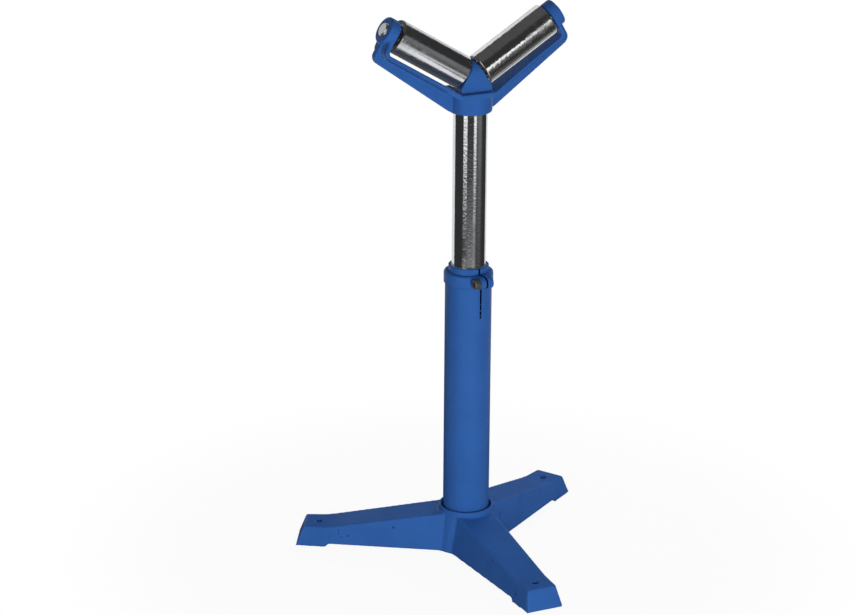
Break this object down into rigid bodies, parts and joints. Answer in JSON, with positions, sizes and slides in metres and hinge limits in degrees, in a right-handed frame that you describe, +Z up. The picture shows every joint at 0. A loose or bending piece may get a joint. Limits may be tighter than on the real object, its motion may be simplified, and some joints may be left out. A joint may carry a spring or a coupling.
{
  "type": "roller stand",
  "caption": "Height-adjustable work support with a cast tripod foot, a clamped telescoping column and a V-shaped yoke with a pair of free-turning steel rollers.",
  "frame": {"origin": "on the floor, on the column's axis, at the centre of the circle of floor bolt holes", "axes": "+Z up along the column; X across the V, with the right roller towards +X; the front leg points towards -Y"},
  "size_m": [0.5203, 0.4557, 0.9168],
  "materials": {
    "cast_paint": "blue gloss paint over cast skin",
    "column_paint": "blue gloss paint over drawn tube",
    "mast_steel": "bright drawn, with fine lengthwise marks",
    "roller_steel": "bright turned, lightly scratched",
    "turned_steel": "plain turned steel",
    "dark_steel": "black oxide",
    "bearing_steel": "ground",
    "bronze": "turned bronze",
    "cage_brass": "machined",
    "seal_rubber": "matte"
  },
  "bodies": {
    "stand": {"base_casting": "cast_paint", "column": "column_paint", "column_foot_plug": "dark_steel", "anchor_bolt": "dark_steel", "anchor_washer": "turned_steel", "anchor_lock_washer": "dark_steel"},
    "guide": {"guide_ring": "bronze"},
    "mast": {"mast_tube": "mast_steel", "guide_retaining_ring": "dark_steel", "yoke_casting": "cast_paint", "yoke_grub_screws": "dark_steel", "axle_grub_screws": "dark_steel", "left_axle": "turned_steel", "left_inner_spacer": "turned_steel", "left_outer_spacer": "turned_steel", "left_inner_bearing_inner_ring": "bearing_steel", "left_outer_bearing_inner_ring": "bearing_steel", "right_axle": "turned_steel", "right_inner_spacer": "turned_steel", "right_outer_spacer": "turned_steel", "right_inner_bearing_inner_ring": "bearing_steel", "right_outer_bearing_inner_ring": "bearing_steel"},
    "clamp": {"clamp_screw": "dark_steel"},
    "left_roller_set": {"left_roller": "roller_steel", "left_bearing_circlips": "dark_steel", "left_bearing_seals": "seal_rubber", "left_inner_bearing_outer_ring": "bearing_steel", "left_outer_bearing_outer_ring": "bearing_steel"},
    "left_inner_ball_set": {"left_inner_bearing_balls": "bearing_steel", "left_inner_bearing_cage": "cage_brass"},
    "left_outer_ball_set": {"left_outer_bearing_balls": "bearing_steel", "left_outer_bearing_cage": "cage_brass"},
    "right_roller_set": {"right_roller": "roller_steel", "right_bearing_circlips": "dark_steel", "right_bearing_seals": "seal_rubber", "right_inner_bearing_outer_ring": "bearing_steel", "right_outer_bearing_outer_ring": "bearing_steel"},
    "right_inner_ball_set": {"right_inner_bearing_balls": "bearing_steel", "right_inner_bearing_cage": "cage_brass"},
    "right_outer_ball_set": {"right_outer_bearing_balls": "bearing_steel", "right_outer_bearing_cage": "cage_brass"}
  },
  "joints": [
    {"name": "mast_lift", "type": "slide", "parent": "stand", "child": "guide", "axis": [0, 0, 1], "range_m": [-0.2563, 0.139]},
    {"name": "mast_swivel", "type": "hinge", "parent": "guide", "child": "mast", "pos_m": [0, 0, 0.3], "axis": [0, 0, 1], "continuous": true},
    {"name": "clamp_screw_turn", "type": "hinge", "parent": "stand", "child": "clamp", "pos_m": [0.00515, -0.04822, 0.4765], "axis": [-0.9943, -0.1063, 0], "range_deg": [0, 360]},
    {"name": "left_roller_spin", "type": "hinge", "parent": "mast", "child": "left_roller_set", "pos_m": [0, 0, 0.8065], "axis": [-0.8526, 0, 0.5225], "continuous": true},
    {"name": "left_inner_balls_turn", "type": "hinge", "parent": "mast", "child": "left_inner_ball_set", "pos_m": [0, 0, 0.8065], "axis": [-0.8526, 0, 0.5225], "continuous": true},
    {"name": "left_outer_balls_turn", "type": "hinge", "parent": "mast", "child": "left_outer_ball_set", "pos_m": [0, 0, 0.8065], "axis": [-0.8526, 0, 0.5225], "continuous": true},
    {"name": "right_roller_spin", "type": "hinge", "parent": "mast", "child": "right_roller_set", "pos_m": [0, 0, 0.8065], "axis": [0.8526, 0, 0.5225], "continuous": true},
    {"name": "right_inner_balls_turn", "type": "hinge", "parent": "mast", "child": "right_inner_ball_set", "pos_m": [0, 0, 0.8065], "axis": [0.8526, 0, 0.5225], "continuous": true},
    {"name": "right_outer_balls_turn", "type": "hinge", "parent": "mast", "child": "right_outer_ball_set", "pos_m": [0, 0, 0.8065], "axis": [0.8526, 0, 0.5225], "continuous": true}
  ],
  "couplings": [
    {"joint": "left_inner_balls_turn", "follows": "left_roller_spin", "ratio": 0.59621},
    {"joint": "left_outer_balls_turn", "follows": "left_roller_spin", "ratio": 0.59621},
    {"joint": "right_inner_balls_turn", "follows": "right_roller_spin", "ratio": 0.59621},
    {"joint": "right_outer_balls_turn", "follows": "right_roller_spin", "ratio": 0.59621}
  ]
}
